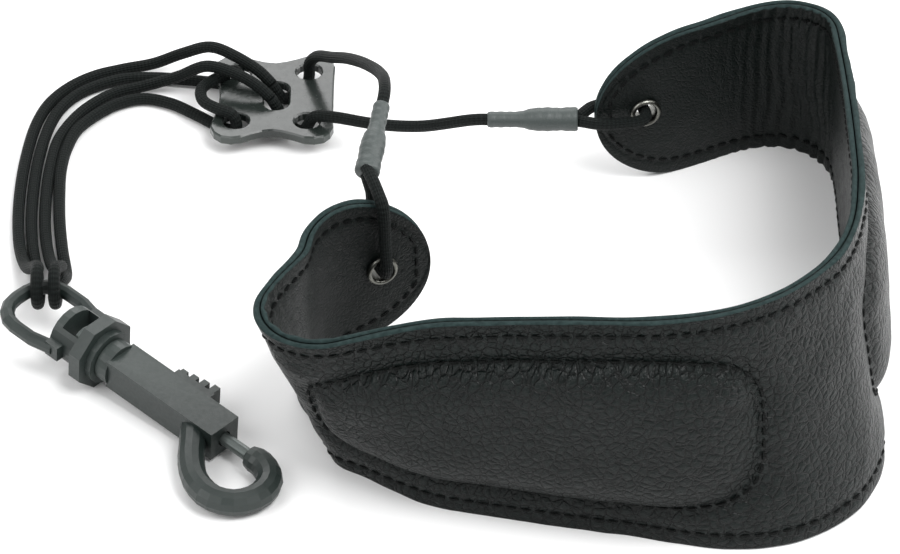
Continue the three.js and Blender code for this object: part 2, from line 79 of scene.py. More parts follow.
# ---------- driving dimensions, as in the frame ----------
HALF_LENGTH = 190
END_ROUNDING = 25
HALF_WIDTH_AT = [0, 57, 114, 162, 250]
HALF_WIDTH = [33, 30.5, 25, 21.5, 17.5]
LEAN_AT = [-190, -153, -128, -88, -51, 0, 51, 97, 134, 190]
LEAN = [2, -2, 21, 0, 0, -11, -4, -3, -4, 2]
TIP_HEADING = -158
BENDS = [
    (-173, -149, 66), (-133, -114, 76), (-114, -43, 6),
    (-46.5, 37, 100), (116, 155, 115), (157, 193, -17),
]
BAND_MIDDLE = (85, -81)
TIP_LIFT = 3
LINING = 1.2
LEATHER_IN = 1.5
LEATHER_OUT = 3
PAD_FROM = 20
PAD_TO = 120
PAD_MARGIN = 10.5
PAD_LOWER = 1.0
PAD_BULGE = 5
PAD_POWER = 4
EDGE_SEAM = 3.6
EYELET_AT = 177.5
STITCH_STEP = 3.4
CORD_R = 1.5


# ---------- materials ----------
class Nodes:
    """A short way to write a node tree."""

    def __init__(self, name):
        self.material = bpy.data.materials.new(name)
        self.material.use_nodes = True
        self.tree = self.material.node_tree
        self.shader = self.tree.nodes["Principled BSDF"]

    def add(self, kind, **values):
        node = self.tree.nodes.new(kind)
        for key, value in values.items():
            if key in node.inputs:
                node.inputs[key].default_value = value
            else:
                setattr(node, key, value)
        return node

    def link(self, a, b):
        self.tree.links.new(a, b)

    def math(self, operation, a, b=0.0):
        node = self.add("ShaderNodeMath", operation=operation)
        for socket, value in zip(node.inputs, (a, b)):
            if isinstance(value, (int, float)):
                socket.default_value = value
            else:
                self.link(value, socket)
        return node.outputs[0]

    def ramp(self, value, stops):
        node = self.add("ShaderNodeValToRGB")
        while len(node.color_ramp.elements) < len(stops):
            node.color_ramp.elements.new(0.5)
        for element, (place, colour) in zip(node.color_ramp.elements, stops):
            element.position = place
            element.color = (*colour, 1) if hasattr(colour, "__len__") else (colour, colour, colour, 1)
        self.link(value, node.inputs[0])
        return node.outputs[0]

    def bump(self, height, strength, distance, under=None):
        node = self.add("ShaderNodeBump", Strength=strength, Distance=distance)
        self.link(height, node.inputs["Height"])
        if under:
            self.link(under, node.inputs["Normal"])
        return node.outputs[0]

    def noise(self, vector, scale, detail=4.0, rough=0.55, distortion=0.0):
        node = self.add("ShaderNodeTexNoise", Scale=scale, Detail=detail)
        node.inputs["Roughness"].default_value = rough
        node.inputs["Distortion"].default_value = distortion
        self.link(vector, node.inputs["Vector"])
        return node.outputs["Fac"]

    def set(self, **values):
        for key, value in values.items():
            self.shader.inputs[key.replace("_", " ")].default_value = value


def warped(n, vector, scale, amount):
    """The vector pushed about by a noise, so that cells come out uneven."""
    push = n.add("ShaderNodeTexNoise", Scale=scale, Detail=2.0)
    n.link(vector, push.inputs["Vector"])
    centred = n.add("ShaderNodeVectorMath", operation="SUBTRACT")
    n.link(push.outputs["Color"], centred.inputs[0])
    centred.inputs[1].default_value = (0.5, 0.5, 0.5)
    scaled = n.add("ShaderNodeVectorMath", operation="SCALE")
    n.link(centred.outputs[0], scaled.inputs[0])
    scaled.inputs["Scale"].default_value = amount
    summed = n.add("ShaderNodeVectorMath", operation="ADD")
    n.link(vector, summed.inputs[0])
    n.link(scaled.outputs[0], summed.inputs[1])
    return summed.outputs[0]


def cells(n, vector, scale, feature="DISTANCE_TO_EDGE"):
    node = n.add("ShaderNodeTexVoronoi", feature=feature, Scale=scale)
    n.link(vector, node.inputs["Vector"])
    return node.outputs["Distance"]


def leather(name, pebble, bump, base, rough):
    n = Nodes(name)
    uv = n.add("ShaderNodeUVMap", uv_map="flat").outputs[0]
    bent = warped(n, uv, 22, 0.02)
    big = n.ramp(cells(n, bent, pebble), [(0.0, 0.0), (0.1, 0.55), (0.34, 1.0)])
    small = n.ramp(cells(n, bent, pebble * 2.3), [(0.0, 0.0), (0.12, 0.7), (0.4, 1.0)])
    fine = n.noise(uv, 420, 3.0)
    patches = n.noise(uv, 2.4, 3.0)
    height = n.math("ADD", n.math("MULTIPLY", big, 0.8), n.math("MULTIPLY", small, 0.2))
    height = n.math("ADD", height, n.math("MULTIPLY", fine, 0.1))
    n.link(n.bump(height, 1.0, bump), n.shader.inputs["Normal"])
    # painted shade: the colour darkens into the hollows between pebbles, following the bump height; the
    # patches add random tone on top
    dark = tuple(c * 0.3 for c in base)
    tint = n.ramp(n.math("MULTIPLY", height, n.math("ADD", patches, 0.55)), [(0.25, dark), (0.95, base)])
    n.link(tint, n.shader.inputs["Base Color"])
    n.link(n.ramp(patches, [(0.3, rough - 0.05), (0.7, rough + 0.07)]), n.shader.inputs["Roughness"])
    n.set(Specular_IOR_Level=0.2)
    return n.material


def lining_leather():
    n = Nodes("lining")
    uv = n.add("ShaderNodeUVMap", uv_map="flat").outputs[0]
    bent = warped(n, uv, 30, 0.02)
    grain = n.ramp(cells(n, bent, 95), [(0.0, 0.0), (0.2, 0.8), (0.5, 1.0)])
    wrinkle = n.noise(uv, 34, 6.0, 0.62, 0.8)
    height = n.math("ADD", n.math("MULTIPLY", grain, 0.35), n.math("MULTIPLY", wrinkle, 0.9))
    n.link(n.bump(height, 0.8, 0.00035), n.shader.inputs["Normal"])
    # painted shade: the lining's colour darkens into its wrinkle and grain hollows, following the bump
    # height
    tint = n.ramp(height, [(0.35, (0.0015, 0.003, 0.0026)), (0.95, (0.005, 0.0082, 0.0074))])
    n.link(tint, n.shader.inputs["Base Color"])
    n.link(n.ramp(wrinkle, [(0.35, 0.4), (0.7, 0.56)]), n.shader.inputs["Roughness"])
    n.set(Specular_IOR_Level=0.22)
    return n.material


def cut_edge():
    n = Nodes("cut_edge")
    where = n.add("ShaderNodeTexCoord").outputs["Object"]
    fibres = n.noise(where, 900, 4.0)
    tint = n.ramp(fibres, [(0.3, (0.008, 0.017, 0.017)), (0.75, (0.026, 0.045, 0.044))])
    n.link(tint, n.shader.inputs["Base Color"])
    n.link(n.bump(fibres, 0.6, 0.0002), n.shader.inputs["Normal"])
    n.set(Roughness=0.8, Specular_IOR_Level=0.15)
    return n.material


def braid(name, around, along, colour):
    """Strands that cross in diamonds round a cord: U goes round it and V along it in cord widths."""
    n = Nodes(name)
    uv = n.add("ShaderNodeUVMap", uv_map="flat").outputs[0]
    split = n.add("ShaderNodeSeparateXYZ")
    n.link(uv, split.inputs[0])
    u = n.math("MULTIPLY", split.outputs[0], around * 2 * math.pi)
    v = n.math("MULTIPLY", split.outputs[1], along * 2 * math.pi)
    left = n.math("SINE", n.math("ADD", u, v))
    right = n.math("SINE", n.math("SUBTRACT", u, v))
    weave = n.math("ADD", n.math("MULTIPLY", n.math("MULTIPLY", left, right), 0.5), 0.5)
    fuzz = n.noise(uv, 60, 3.0)
    height = n.math("ADD", weave, n.math("MULTIPLY", fuzz, 0.35))
    n.link(n.bump(height, 1.0, 0.0003), n.shader.inputs["Normal"])
    # painted shade: the colour darkens in the hollows of the weave, where one strand dips under another
    dark = tuple(c * 0.35 for c in colour)
    n.link(n.ramp(height, [(0.25, dark), (1.0, colour)]), n.shader.inputs["Base Color"])
    n.set(Roughness=0.66, Specular_IOR_Level=0.16)
    return n.material


def coated_edge_highlight(name, base, highlight_colour, rough, metallic, bump=0.00004, scale=260):
    """A hard coated surface: speckle, soft patches of random tone and a painted highlight along its sharp
    edges.
    """
    n = Nodes(name)
    where = n.add("ShaderNodeTexCoord").outputs["Object"]
    speck = n.noise(where, scale * 4, 5.0, 0.6)
    patch = n.noise(where, scale * 0.35, 4.0, 0.6)
    # painted highlight: sharp convex edges are coloured lighter, towards the highlight colour, standing in
    # for glints on the rims
    edge = n.ramp(n.add("ShaderNodeNewGeometry").outputs["Pointiness"], [(0.52, 0.0), (0.6, 1.0)])
    edge_highlight_and_patches = n.math("ADD", n.math("MULTIPLY", edge, 0.8), n.math("MULTIPLY", patch, 0.22))
    mix = n.math("MINIMUM", edge_highlight_and_patches, 1.0)
    n.link(n.ramp(mix, [(0.05, base), (0.9, highlight_colour)]), n.shader.inputs["Base Color"])
    n.link(n.ramp(speck, [(0.3, rough - 0.07), (0.75, rough + 0.1)]), n.shader.inputs["Roughness"])
    n.link(n.bump(speck, 0.5, bump), n.shader.inputs["Normal"])
    n.set(Metallic=metallic, Specular_IOR_Level=0.5)
    return n.material


def shrink_tube():
    n = Nodes("shrink_tube")
    uv = n.add("ShaderNodeUVMap", uv_map="flat").outputs[0]
    ribs = n.noise(uv, 9, 4.0, 0.6)
    haze = n.noise(uv, 40, 3.0)
    tint = n.ramp(haze, [(0.3, (0.042, 0.052, 0.05)), (0.75, (0.07, 0.083, 0.08))])
    n.link(tint, n.shader.inputs["Base Color"])
    n.link(n.bump(ribs, 0.6, 0.0003), n.shader.inputs["Normal"])
    n.set(Roughness=0.44, Specular_IOR_Level=0.45)
    return n.material


OUTER = leather("outer_leather_grain", 50, 0.00042, (0.0032, 0.0062, 0.0056), 0.34)
INNER = lining_leather()
EDGE = cut_edge()
CORD = braid("braided_cord", 8, 1.5, (0.0065, 0.0095, 0.0088))
SLEEVE = shrink_tube()
THREAD = braid("thread", 2, 1.2, (0.005, 0.0065, 0.0062))
BLACK_NICKEL = coated_edge_highlight("black_nickel", (0.05, 0.05, 0.045), (0.3, 0.3, 0.27), 0.3, 1.0)
SLIDER_COAT = coated_edge_highlight("slider_coat", (0.005, 0.0075, 0.0068), (0.045, 0.055, 0.05), 0.2, 0.0)
PLASTIC = coated_edge_highlight("hook_plastic", (0.0085, 0.0145, 0.013), (0.025, 0.034, 0.031), 0.44, 0.0, 0.00005)
DARK_STEEL = coated_edge_highlight("dark_steel", (0.022, 0.03, 0.028), (0.09, 0.105, 0.1), 0.34, 0.4)


# ---------- meshes ----------
def smoothstep(t):
    c = np.clip(t, 0, 1)
    return c * c * (3 - 2 * c)


def through(xs, ys, x):
    """A smooth curve through the given values, flat at every turning point."""
    x = np.asarray(x, float)
    steps = [(ys[i + 1] - ys[i]) / (xs[i + 1] - xs[i]) for i in range(len(xs) - 1)]
    slopes = [0.0]
    for a, b in zip(steps, steps[1:]):
        slopes.append(2 * a * b / (a + b) if a * b > 0 else 0.0)
    slopes.append(0.0)
    i = np.clip(np.searchsorted(xs, x, side="right") - 1, 0, len(xs) - 2)
    x0, x1 = np.take(xs, i), np.take(xs, i + 1)
    y0, y1 = np.take(ys, i), np.take(ys, i + 1)
    m0, m1 = np.take(slopes, i), np.take(slopes, i + 1)
    w = x1 - x0
    t = np.clip((x - x0) / w, 0, 1)
    return (
        (2 * t**3 - 3 * t**2 + 1) * y0 + (t**3 - 2 * t**2 + t) * w * m0
        + (3 * t**2 - 2 * t**3) * y1 + (t**3 - t**2) * w * m1
    )


def make_mesh(name, points, faces, material, smooth=True):
    mesh = bpy.data.meshes.new(name)
    mesh.from_pydata([metres(p) for p in points], [], faces)
    mesh.polygons.foreach_set("use_smooth", [smooth] * len(mesh.polygons))
    mesh.materials.append(material)
    obj = bpy.data.objects.new(name, mesh)
    bpy.context.scene.collection.objects.link(obj)
    return obj


def ring_faces(rings, size, closed=False, caps=True):
    faces = []
    for i in range(rings if closed else rings - 1):
        a, b = i * size, ((i + 1) % rings) * size
        for j in range(size):
            k = (j + 1) % size
            faces.append((a + j, a + k, b + k, b + j))
    if caps and not closed:
        faces.append(tuple(range(size))[::-1])
        faces.append(tuple((rings - 1) * size + j for j in range(size)))
    return faces


def add_uv(obj, uv):
    """uv: one pair for every face corner."""
    layer = obj.data.uv_layers.new(name="flat")
    layer.data.foreach_set("uv", np.asarray(uv, np.float32).ravel())


def tube_rings(points, radius, sides):
    """Rings of points round a line, kept from twisting."""
    points = np.asarray(points, float)
    side = None
    rings = []
    for i, p in enumerate(points):
        along = points[min(i + 1, len(points) - 1)] - points[max(i - 1, 0)]
        along = along / np.linalg.norm(along)
        if side is None:
            side = np.array([0, 0, 1.0]) if abs(along[2]) < 0.9 else np.array([1.0, 0, 0])
        side = side - along * side.dot(along)
        side = side / np.linalg.norm(side)
        other = np.cross(along, side)
        r = radius[i] if hasattr(radius, "__len__") else radius
        angles = np.arange(sides) / sides * 2 * math.pi
        rings.append(p + r * np.outer(np.cos(angles), side) + r * np.outer(np.sin(angles), other))
    return rings


def tube(name, points, radius, material, sides=16, width=None):
    """A tube whose UV goes once round, and along in tube widths."""
    rings = tube_rings(points, radius, sides)
    faces = ring_faces(len(rings), sides)
    obj = make_mesh(name, np.vstack(rings), faces, material)
    step = np.linalg.norm(np.diff(np.asarray(points, float), axis=0), axis=1)
    far = np.concatenate([[0], np.cumsum(step)]) / (width or 2 * CORD_R)
    uv = []
    for i in range(len(rings) - 1):
        for j in range(sides):
            u0, u1 = j / sides, (j + 1) / sides
            uv += [(u0, far[i]), (u1, far[i]), (u1, far[i + 1]), (u0, far[i + 1])]
    uv += [(0.5, 0)] * sides + [(0.5, far[-1])] * sides
    add_uv(obj, uv)
    return obj


def curve_through(points, step):
    """A centripetal Catmull-Rom curve, sampled about every step."""
    p = [np.asarray(q, float) for q in points]
    p = [2 * p[0] - p[1]] + p + [2 * p[-1] - p[-2]]
    out = [p[1]]
    for a, b, c, d in zip(p, p[1:], p[2:], p[3:]):
        t1 = math.sqrt(np.linalg.norm(b - a))
        t2 = t1 + math.sqrt(np.linalg.norm(c - b))
        t3 = t2 + math.sqrt(np.linalg.norm(d - c))
        count = max(1, round(np.linalg.norm(c - b) / step))
        for k in range(1, count + 1):
            t = t1 + (t2 - t1) * k / count
            u = (t1 - t) / t1 * a + t / t1 * b
            v = (t2 - t) / (t2 - t1) * b + (t - t1) / (t2 - t1) * c
            w = (t3 - t) / (t3 - t2) * c + (t - t2) / (t3 - t2) * d
            x = (t2 - t) / t2 * u + t / t2 * v
            y = (t3 - t) / (t3 - t1) * v + (t - t1) / (t3 - t1) * w
            out.append((t2 - t) / (t2 - t1) * x + (t - t1) / (t2 - t1) * y)
    return out


# ---------- band ----------
def heading(s):
    return (TIP_HEADING + sum(turn * smoothstep((s - a) / (b - a)) for a, b, turn in BENDS)) * RAD


PATH_STEP = 0.5
mids = np.arange(-HALF_LENGTH + PATH_STEP / 2, HALF_LENGTH, PATH_STEP)
PATH = np.zeros((len(mids) + 1, 2))
PATH[1:, 0] = np.cumsum(np.cos(heading(mids))) * PATH_STEP
PATH[1:, 1] = np.cumsum(np.sin(heading(mids))) * PATH_STEP
PATH += np.array(BAND_MIDDLE) - PATH[len(mids) // 2]
PATH_S = np.linspace(-HALF_LENGTH, HALF_LENGTH, len(PATH))


def full_half_width(s):
    return through(HALF_WIDTH_AT, HALF_WIDTH, np.abs(s))


def half_width(s):
    t = np.maximum((np.abs(s) - HALF_LENGTH + END_ROUNDING) / END_ROUNDING, 0)
    return full_half_width(s) * np.sqrt(np.maximum(1 - t**2.2, 0))


def band_frame(s):
    """Middle point, way along, way up the face and way out of the face, for an array of s."""
    s = np.atleast_1d(np.asarray(s, float))
    a = heading(s)
    lean = through(LEAN_AT, LEAN, s) * RAD
    flat = np.stack([np.sin(a), -np.cos(a), 0 * a], 1)
    up_z = np.array([0, 0, 1.0])
    up = flat * np.sin(lean)[:, None] + up_z * np.cos(lean)[:, None]
    out = flat * np.cos(lean)[:, None] - up_z * np.sin(lean)[:, None]
    lift = np.maximum(np.sin(lean), 0) * LEATHER_OUT + TIP_LIFT * smoothstep((-s - 150) / 25)
    z = full_half_width(s) * np.cos(lean) + lift
    middle = np.stack([np.interp(s, PATH_S, PATH[:, 0]), np.interp(s, PATH_S, PATH[:, 1]), z], 1)
    along = np.stack([np.cos(a), np.sin(a), 0 * a], 1)
    return middle, along, up, out


def on_band(s, v, n):
    """Points at height v (millimetres up the face) and n out of the lining's face."""
    middle, _, up, out = band_frame(s)
    v, n = np.atleast_1d(v)[:, None], np.atleast_1d(n)[:, None]
    return middle + up * v + out * n


def pad_place(s, v):
    """0 in the middle of a pad, 1 on its outline."""
    u = (np.abs(s) - PAD_FROM) / (PAD_TO - PAD_FROM) * 2 - 1
    w = (v + PAD_LOWER) / np.maximum(half_width(s) - PAD_MARGIN, 1)
    return (np.abs(u) ** PAD_POWER + np.abs(w) ** PAD_POWER) ** (1 / PAD_POWER)


def pad_outline(side, rho, angle):
    c, d = np.cos(angle), np.sin(angle)
    scale = rho / (np.abs(c) ** PAD_POWER + np.abs(d) ** PAD_POWER) ** (1 / PAD_POWER)
    s = side * (PAD_FROM + (PAD_TO - PAD_FROM) * (c * scale + 1) / 2)
    return s, d * scale * (half_width(s) - PAD_MARGIN) - PAD_LOWER


def soft_noise(s, v, scale, seed):
    return np.array([noise.noise((a / scale, b / scale, seed)) for a, b in zip(s, v)])


def seam_dip(distance, depth, width):
    return -depth * np.exp(-((distance / width) ** 2))


def outer_height(s, v):
    """How far the outer leather stands off its plain face."""
    e = pad_place(s, v)
    pad = np.where(e < 1, PAD_BULGE * (1 - np.minimum(e, 1) ** 4.5) ** 0.8, 0)
    near_pad = (e - 1.03) * 20
    edge = half_width(s) - np.abs(v) - EDGE_SEAM
    pucker = 0.13 * np.cos(s * 2 * math.pi / 3.4) * np.exp(-((edge / 1.6) ** 2))
    roll = 0.35 * np.exp(-(((near_pad - 4) / 3) ** 2))
    waves = 0.55 * soft_noise(s, v, 17, 3.1) + 0.22 * soft_noise(s, v, 5.5, 8.3)
    return pad + roll + waves + pucker + seam_dip(near_pad, 0.75, 1.3) + seam_dip(edge, 0.4, 1.0)


def lining_height(s, v):
    """Compression creases run up the far bend, and softer ones up the near fold."""
    far = np.exp(-(((s - 135) / 17) ** 2))
    near = np.exp(-(((s + 127) / 12) ** 2))
    sway = 2.2 * soft_noise(s, v, 14, 1.7)
    wide = 0.34 * np.sin((s + sway) * 2 * math.pi / 3.1)
    narrow = 0.2 * np.sin((s - sway) * 2 * math.pi / 1.9)
    creases = far * (wide + narrow)
    creases = creases + near * 0.25 * np.sin((s + sway) * 2 * math.pi / 3.6)
    edge = half_width(s) - np.abs(v) - EDGE_SEAM
    return 0.3 * soft_noise(s, v, 12, 5.9) + creases - seam_dip(edge, 0.3, 0.9)


def band_stations():
    start = HALF_LENGTH - END_ROUNDING
    tip = start + END_ROUNDING * np.sin(np.linspace(0, 88.5, 40) * RAD)
    middle = np.arange(-start + 0.75, start, 0.75)
    return np.concatenate([-tip[::-1], middle, tip])


def band_layer(name, lower, upper, across, material):
    """A closed leather layer. lower and upper give n for arrays of s and v."""
    stations = band_stations()
    t = np.linspace(-1, 1, across)
    size = 2 * across + 2
    points = np.zeros((len(stations), size, 3))
    flat = np.zeros((len(stations), size, 2))
    for i, s in enumerate(stations):
        h = float(half_width(s))
        v = t * h
        ss = np.full(across, s)
        low, high = lower(ss, v), upper(ss, v)
        wander = 0.35 * noise.noise((s / 9, 0.3, 2.2))
        rim = h + 0.35 + wander * 0.4
        vs = np.concatenate([v, [rim], v[::-1], [-rim]])
        ns = np.concatenate([low, [(low[-1] + high[-1]) / 2], high[::-1], [(low[0] + high[0]) / 2]])
        points[i] = on_band(np.full(size, s), vs, ns)
        flat[i] = np.stack([np.full(size, s), vs], 1) / 100
    faces, uv, slots = [], [], []
    eyelets = [on_band(side * EYELET_AT, 0, 1.5)[0] for side in (-1, 1)]
    edges = {across - 1, across, 2 * across, 2 * across + 1}
    for i in range(len(stations) - 1):
        tip = abs(stations[i]) > EYELET_AT - 6
        for j in range(size):
            k = (j + 1) % size
            quad = [(i, j), (i, k), (i + 1, k), (i + 1, j)]
            if tip and j not in edges:
                centre = np.mean([points[a, b] for a, b in quad], 0)
                if min(np.linalg.norm(centre - e) for e in eyelets) < 3.6:
                    continue
            faces.append([a * size + b for a, b in quad])
            uv += [flat[a, b] for a, b in quad]
            slots.append(1 if j in edges else 0)
    last = (len(stations) - 1) * size
    faces += [list(range(size))[::-1], [last + j for j in range(size)]]
    uv += [flat[0, j] for j in range(size)][::-1] + [flat[-1, j] for j in range(size)]
    slots += [1, 1]
    obj = make_mesh(name, points.reshape(-1, 3), faces, material)
    obj.data.materials.append(EDGE)
    obj.data.polygons.foreach_set("material_index", slots)
    add_uv(obj, uv)
    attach(obj, "band")
    return obj


outer = band_layer(
    "leather_outside", lambda s, v: LEATHER_IN + 0 * s + np.minimum(pad_place(s, v) < 0.97, 1) * 0.6,
    lambda s, v: LEATHER_OUT + outer_height(s, v), 84, OUTER,
)
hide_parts("outer_leather", "foam_pad_left", "foam_pad_right")
inner = band_layer("leather_lining", lining_height, lambda s, v: LINING + 0 * s, 70, INNER)
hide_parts("lining")


# ---------- stitches ----------
def stitches(name, line, face_out, node):
    """Short thread stitches along a closed line of (s, v, n), evenly spaced, with their ends sunk in."""
    places = np.array([on_band(s, v, n)[0] for s, v, n in line])
    outs = np.array([band_frame(s)[3][0] for s, _, _ in line]) * face_out
    step = np.linalg.norm(np.diff(places, axis=0), axis=1)
    far = np.concatenate([[0], np.cumsum(step)])
    count = int(far[-1] / STITCH_STEP)
    points, faces, uv = [], [], []
    sides = 8
    for k in range(count):
        at = np.linspace(0.12, 0.88, 7)
        stem = []
        for q in at:
            d = (k + q) * far[-1] / count
            p = np.array([np.interp(d, far, places[:, i]) for i in range(3)])
            o = np.array([np.interp(d, far, outs[:, i]) for i in range(3)])
            lift = -0.42 + 0.62 * math.sin(math.pi * (q - 0.12) / 0.76) ** 0.5 if 0.12 < q < 0.88 else -0.42
            stem.append(p + o * lift)
        rings = tube_rings(stem, [0.22, 0.36, 0.42, 0.42, 0.42, 0.36, 0.22], sides)
        base = len(points)
        for ring in rings:
            points.extend(ring)
        for f in ring_faces(len(rings), sides):
            faces.append([base + x for x in f])
            uv += [((x % sides) / sides, x // sides * 0.4) for x in f]
    obj = make_mesh(name, points, faces, THREAD)
    add_uv(obj, uv)
    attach(obj, "band")
    if node:
        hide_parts(node)
    return obj


def edge_line(height_at):
    reach = HALF_LENGTH - EDGE_SEAM
    tip = np.linspace(reach - 22, reach, 40)
    s = np.concatenate([-tip[::-1], np.arange(-reach + 22, reach - 22, 1.0), tip])
    v = np.maximum(half_width(np.minimum(np.abs(s) + 1.2, HALF_LENGTH - 0.2)) - EDGE_SEAM, 0.0)
    line = list(zip(s, v)) + list(zip(s[::-1], -v[::-1]))
    line.append(line[0])
    return [(a, b, float(height_at(np.array([a]), np.array([b]))[0])) for a, b in line]


def pad_line(side):
    angles = np.linspace(0, 2 * math.pi, 260)
    line = []
    for a in angles:
        s, v = pad_outline(side, 1.03, a)
        n = float(LEATHER_OUT + outer_height(np.array([s]), np.array([v]))[0])
        line.append((s, v, n))
    return line


stitches("edge_stitches", edge_line(lambda s, v: LEATHER_OUT + outer_height(s, v)), 1, "edge_seam")
stitches("edge_stitches_inside", edge_line(lining_height), -1, None)
stitches("pad_stitches_left", pad_line(-1), 1, "pad_seam_left")
stitches("pad_stitches_right", pad_line(1), 1, "pad_seam_right")


# ---------- eyelets ----------
def eyelet(name, side, profile, node):
    middle, _, up, out = (x[0] for x in band_frame(side * EYELET_AT))
    across = np.cross(up, out)
    sides = 56
    rings = []
    for r, h in profile:
        a = np.arange(sides) / sides * 2 * math.pi
        rings.append(middle + out * h + r * (np.outer(np.cos(a), across) + np.outer(np.sin(a), up)))
    faces = ring_faces(len(rings), sides, closed=True)
    obj = make_mesh(name, np.vstack(rings), faces, BLACK_NICKEL)
    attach(obj, "band")
    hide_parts(node)


RIM = [
    (2.65, 4.1), (2.65, 0.2), (2.7, -0.5), (2.85, -0.95), (3.15, -1.18), (3.5, -1.12),
    (3.85, -0.8), (3.95, -0.35),
    (3.8, 0.0), (3.05, 0.0), (3.05, 4.1),
]
WASHER = [(3.3, 3.2), (3.3, 4.0), (3.6, 4.15), (4.1, 4.05), (4.6, 3.7), (4.7, 3.2)]
for word, side in (("left", -1), ("right", 1)):
    eyelet("eyelet_ring_" + word, side, RIM, "eyelet_" + word)
    eyelet("eyelet_back_" + word, side, WASHER, "eyelet_washer_" + word)


# ---------- cord loops and sleeves ----------
def near_eyelet(side, reach, n):
    middle, along, up, out = (x[0] for x in band_frame(side * EYELET_AT))
    return middle + (up if side < 0 else along) * reach + out * n


LEFT_LOOP = [
    (23.6, 7.2), (22.9, 4.4), (21.5, 1.2), (20, -1.5), (17, -2.3), (10, -2.6), (5.5, -3.3),
    (3, -3.5), (0.9, -2.7),
    (0.1, -0.8), (0, 1.5), (0.1, 3.8), (0.9, 5.7), (3, 6.5), (5.5, 6.3), (10, 5.9), (16, 5.7),
    (19.2, 6.0), (20.5, 7.5),
]
RIGHT_LOOP = [
    (15.4, -0.3), (12.5, -2.0), (9, -2.9), (5.5, -3.3), (3, -3.5), (0.9, -2.7), (0.1, -0.8),
    (0, 1.5), (0.1, 3.8),
    (0.9, 5.7), (3, 6.5), (5.5, 6.3), (9, 6.1), (12.5, 5.4), (15.4, 3.3),
]


def lay_cord(name, points, nodes):
    """A stretch of the braided cord, laid along a curve through the points."""
    line = curve_through(points, 0.9)
    obj = tube(name, line, CORD_R, CORD, 18)
    if nodes:
        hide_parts(*nodes)
    return obj


for word, side, table in (("left", -1, LEFT_LOOP), ("right", 1, RIGHT_LOOP)):
    points = [near_eyelet(side, a, n) for a, n in table]
    ends = np.array([points[0] - points[1], points[-1] - points[-2]])
    ends = ends / np.linalg.norm(ends, axis=1)[:, None] * 2.2
    points = [points[0] + ends[0], *points, points[-1] + ends[1]]
    loop = lay_cord("eyelet_loop_" + word, points, ["loop_" + word])
    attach(loop, "band")


def sleeve(name, start, end, node):
    """Heat-shrunk tube: thick where it holds two strands, thin where it holds one, and not quite round."""
    t = np.linspace(0, 1, 60)
    line = [np.asarray(start) + (np.asarray(end) - np.asarray(start)) * q for q in t]
    shape = 2.95 - 0.95 * smoothstep((t - 0.46) / 0.2)
    shape = shape + 0.1 * np.sin(t * 23) * (1 - t) + 0.05 * np.sin(t * 61)
    lip = np.minimum(1, np.minimum(t, 1 - t) / 0.02) * 0.18 - 0.18
    obj = tube(name, line, list(shape + lip), SLEEVE, 32, 6)
    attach(obj, "band")
    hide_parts(node)


LEFT_SLEEVE = (near_eyelet(-1, 22.4, 8.8), np.array([-16.5, 2.5, 51.5]))
RIGHT_SLEEVE = (near_eyelet(1, 17, 1.5), np.array([9.0, 38.5, 20.0]))
sleeve("shrink_sleeve_left", *LEFT_SLEEVE, "sleeve_left")
sleeve("shrink_sleeve_right", *RIGHT_SLEEVE, "sleeve_right")

# ---------- cord ----------
UNDER = 1.8
OVER = 8
LEFT_RUN = [
    (-16.0, 12, 51.0), (-17.5, 27, 43), (-21.5, 43, 34), (-26, 56, 26), (-30, 66, 19), (-34.6, 75, 12.6),
    (-36.4, 77.4, 8.5), (-36.5, 77.6, 4.6), (-37.4, 76.4, UNDER),
]
UNDER_TO_SLOT = [(-42.6, 71.6, UNDER), (-44.2, 70.2, 4.4), (-45.8, 70.4, 7.4)]
STRAND_A = [
    (-49, 72.5, 9.8), (-55, 76.4, 11.6), (-61.5, 80.6, 11.6), (-69, 84.3, 7), (-77, 85.2, 3),
    (-85, 84.3, UNDER),
    (-92, 81.4, UNDER), (-98, 76.6, UNDER), (-102.6, 70, UNDER), (-105.4, 61.5, UNDER), (-107.2, 47, UNDER),
    (-107.7, 32, UNDER), (-107.2, 19, UNDER), (-105.8, 8, UNDER + 0.6), (-103.4, -1.5, 5),
    (-100.4, -9, 11.4),
]
STRAND_C = [
    (-100.2, -8.6, 6.4), (-101, -1, 2.4), (-102.8, 9, UNDER), (-104, 20, UNDER),
    (-104.4, 32, UNDER), (-104, 46, UNDER),
    (-102.3, 59.4, UNDER), (-99.8, 67.4, UNDER), (-95.8, 73.4, UNDER), (-90.4, 77.6, UNDER),
    (-84.2, 80.2, UNDER),
    (-76, 80.6, UNDER), (-66, 79.4, UNDER), (-58, 78, UNDER),
]
CROSS = [
    (-54.7, 77.2, 2.6), (-54.5, 77, 5), (-55.6, 75.8, 7.6), (-60, 72, OVER), (-63.6, 67.4, OVER),
    (-63, 62.4, OVER),
    (-59, 58.8, OVER), (-55.6, 57.2, 7.6), (-54.5, 57, 5), (-55, 57.2, 2.6),
]
STRAND_D = [
    (-58.5, 59.4, UNDER), (-65, 64.6, UNDER), (-72, 69.6, UNDER), (-79, 71.6, UNDER), (-85, 69.6, UNDER),
    (-90.6, 64.6, UNDER), (-95, 58.4, UNDER), (-97.3, 50, UNDER), (-98.1, 41, UNDER), (-97.8, 31, UNDER),
    (-97, 20, UNDER), (-95.6, 9, UNDER), (-94, -1, 2.4), (-94.2, -8.6, 6.4),
]
STRAND_B = [
    (-94.2, -9, 11.4), (-97, -1.5, 5), (-99.2, 8.6, UNDER + 0.6), (-100.6, 19.5, UNDER),
    (-101.1, 31.5, UNDER),
    (-100.8, 43.5, UNDER), (-99.4, 54.6, UNDER), (-95.8, 63.4, UNDER), (-91.4, 69.6, UNDER),
    (-86, 74.2, UNDER),
    (-79, 76.2, UNDER + 0.6), (-70, 75.2, 6.2), (-62.4, 72.6, 11.4), (-55, 69.4, 11.4), (-49, 66.2, 9.6),
]
